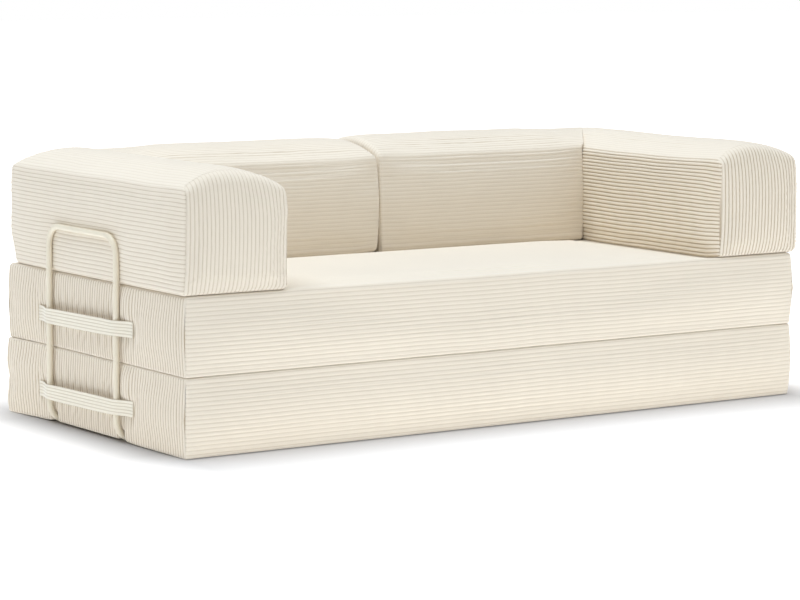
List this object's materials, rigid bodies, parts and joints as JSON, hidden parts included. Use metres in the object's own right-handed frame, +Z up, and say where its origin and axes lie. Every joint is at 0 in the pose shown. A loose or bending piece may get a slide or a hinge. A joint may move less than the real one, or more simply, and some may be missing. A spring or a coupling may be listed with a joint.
{
  "type": "foam sofa bed",
  "caption": "Low foam sofa bed in ribbed covers: two stacked mattress layers that fold open, arm and back bolsters, tube frames in cloth straps.",
  "frame": {"origin": "on the floor under the middle of the whole object", "axes": "+X along the sofa to the right as seen from the front, +Y from front to back, +Z up"},
  "size_m": [2.0396, 0.9398, 0.7213],
  "materials": {
    "corduroy": "wide-rib corduroy, cream",
    "strap_corduroy": "wide-rib corduroy strap, cream",
    "foam": "open-cell foam",
    "frame_paint": "satin cream powder coat",
    "cap_plastic": "moulded",
    "zip_tape": "woven tape with nylon coil",
    "zip_metal": "enamelled cream",
    "hinge_cloth": "woven",
    "non_slip_cloth": "non-woven with rubber dots"
  },
  "bodies": {
    "base": {"base_cover": "corduroy", "base_foam_core": "foam", "base_zip": "zip_tape", "base_non_slip_sheet": "non_slip_cloth", "fold_hinge_strip": "hinge_cloth", "strap_left_lower": "strap_corduroy", "strap_right_lower": "strap_corduroy", "strap_rear_left_lower": "strap_corduroy", "strap_rear_right_lower": "strap_corduroy"},
    "base_zip_slider": {"base_zip_slider": "zip_metal"},
    "base_zip_pull": {"base_zip_pull": "zip_metal"},
    "seat": {"seat_cover": "corduroy", "seat_foam_core": "foam", "seat_zip": "zip_tape", "strap_left_upper": "strap_corduroy", "strap_right_upper": "strap_corduroy", "strap_rear_left_upper": "strap_corduroy", "strap_rear_right_upper": "strap_corduroy"},
    "seat_zip_slider": {"seat_zip_slider": "zip_metal"},
    "seat_zip_pull": {"seat_zip_pull": "zip_metal"},
    "arm_left": {"arm_left_cover": "corduroy", "arm_left_foam_core": "foam", "arm_left_zip": "zip_tape"},
    "arm_left_zip_slider": {"arm_left_zip_slider": "zip_metal"},
    "arm_left_zip_pull": {"arm_left_zip_pull": "zip_metal"},
    "arm_right": {"arm_right_cover": "corduroy", "arm_right_foam_core": "foam", "arm_right_zip": "zip_tape"},
    "arm_right_zip_slider": {"arm_right_zip_slider": "zip_metal"},
    "arm_right_zip_pull": {"arm_right_zip_pull": "zip_metal"},
    "back_left": {"back_left_cover": "corduroy", "back_left_foam_core": "foam", "back_left_zip": "zip_tape"},
    "back_left_zip_slider": {"back_left_zip_slider": "zip_metal"},
    "back_left_zip_pull": {"back_left_zip_pull": "zip_metal"},
    "back_right": {"back_right_cover": "corduroy", "back_right_foam_core": "foam", "back_right_zip": "zip_tape"},
    "back_right_zip_slider": {"back_right_zip_slider": "zip_metal"},
    "back_right_zip_pull": {"back_right_zip_pull": "zip_metal"},
    "frame_left": {"frame_left_tube": "frame_paint", "frame_left_end_caps": "cap_plastic"},
    "frame_right": {"frame_right_tube": "frame_paint", "frame_right_end_caps": "cap_plastic"},
    "frame_rear_left": {"frame_rear_left_tube": "frame_paint", "frame_rear_left_end_caps": "cap_plastic"},
    "frame_rear_right": {"frame_rear_right_tube": "frame_paint", "frame_rear_right_end_caps": "cap_plastic"}
  },
  "joints": [
    {"name": "seat_fold", "type": "hinge", "parent": "base", "child": "seat", "pos_m": [0, -0.4703, 0.2037], "axis": [1, 0, 0], "range_deg": [0, 180], "deforming": ["fold_hinge_strip", "strap_left_upper", "strap_right_upper", "strap_rear_left_upper", "strap_rear_right_upper"]},
    {"name": "arm_left_lift", "type": "slide", "parent": "seat", "child": "arm_left", "axis": [0, 0, 1], "range_m": [0, 0.4]},
    {"name": "arm_right_lift", "type": "slide", "parent": "seat", "child": "arm_right", "axis": [0, 0, 1], "range_m": [0, 0.4]},
    {"name": "back_left_lift", "type": "slide", "parent": "seat", "child": "back_left", "axis": [0, 0, 1], "range_m": [0, 0.4]},
    {"name": "back_right_lift", "type": "slide", "parent": "seat", "child": "back_right", "axis": [0, 0, 1], "range_m": [0, 0.4]},
    {"name": "frame_left_draw", "type": "slide", "parent": "base", "child": "frame_left", "axis": [0, 0, -1], "range_m": [0, 0.56]},
    {"name": "frame_right_draw", "type": "slide", "parent": "base", "child": "frame_right", "axis": [0, 0, -1], "range_m": [0, 0.56]},
    {"name": "frame_rear_left_draw", "type": "slide", "parent": "base", "child": "frame_rear_left", "axis": [0, 0, -1], "range_m": [0, 0.56]},
    {"name": "frame_rear_right_draw", "type": "slide", "parent": "base", "child": "frame_rear_right", "axis": [0, 0, -1], "range_m": [0, 0.56]},
    {"name": "base_zip_slide", "type": "slide", "parent": "base", "child": "base_zip_slider", "axis": [1, 0, 0], "range_m": [0, 1.796]},
    {"name": "base_pull_tilt", "type": "hinge", "parent": "base_zip_slider", "child": "base_zip_pull", "pos_m": [-0.898, 0.44645, 0.0535], "axis": [0, 0, 1], "range_deg": [0, 170]},
    {"name": "seat_zip_slide", "type": "slide", "parent": "seat", "child": "seat_zip_slider", "axis": [1, 0, 0], "range_m": [0, 1.796]},
    {"name": "seat_pull_tilt", "type": "hinge", "parent": "seat_zip_slider", "child": "seat_zip_pull", "pos_m": [-0.898, 0.44645, 0.2559], "axis": [0, 0, 1], "range_deg": [0, 170]},
    {"name": "arm_left_zip_slide", "type": "slide", "parent": "arm_left", "child": "arm_left_zip_slider", "axis": [1, 0, 0], "range_m": [0, 0.15]},
    {"name": "arm_left_pull_tilt", "type": "hinge", "parent": "arm_left_zip_slider", "child": "arm_left_zip_pull", "pos_m": [-0.93, 0.44311, 0.4503], "axis": [0, 0, 1], "range_deg": [0, 170]},
    {"name": "arm_right_zip_slide", "type": "slide", "parent": "arm_right", "child": "arm_right_zip_slider", "axis": [1, 0, 0], "range_m": [0, 0.15]},
    {"name": "arm_right_pull_tilt", "type": "hinge", "parent": "arm_right_zip_slider", "child": "arm_right_zip_pull", "pos_m": [0.78, 0.44311, 0.4503], "axis": [0, 0, 1], "range_deg": [0, 170]},
    {"name": "back_left_zip_slide", "type": "slide", "parent": "back_left", "child": "back_left_zip_slider", "axis": [1, 0, 0], "range_m": [0, 0.5574]},
    {"name": "back_left_pull_tilt", "type": "hinge", "parent": "back_left_zip_slider", "child": "back_left_zip_pull", "pos_m": [-0.6336, 0.44832, 0.4503], "axis": [0, 0, 1], "range_deg": [0, 170]},
    {"name": "back_right_zip_slide", "type": "slide", "parent": "back_right", "child": "back_right_zip_slider", "axis": [1, 0, 0], "range_m": [0, 0.5574]},
    {"name": "back_right_pull_tilt", "type": "hinge", "parent": "back_right_zip_slider", "child": "back_right_zip_pull", "pos_m": [0.0762, 0.44832, 0.4503], "axis": [0, 0, 1], "range_deg": [0, 170]}
  ]
}
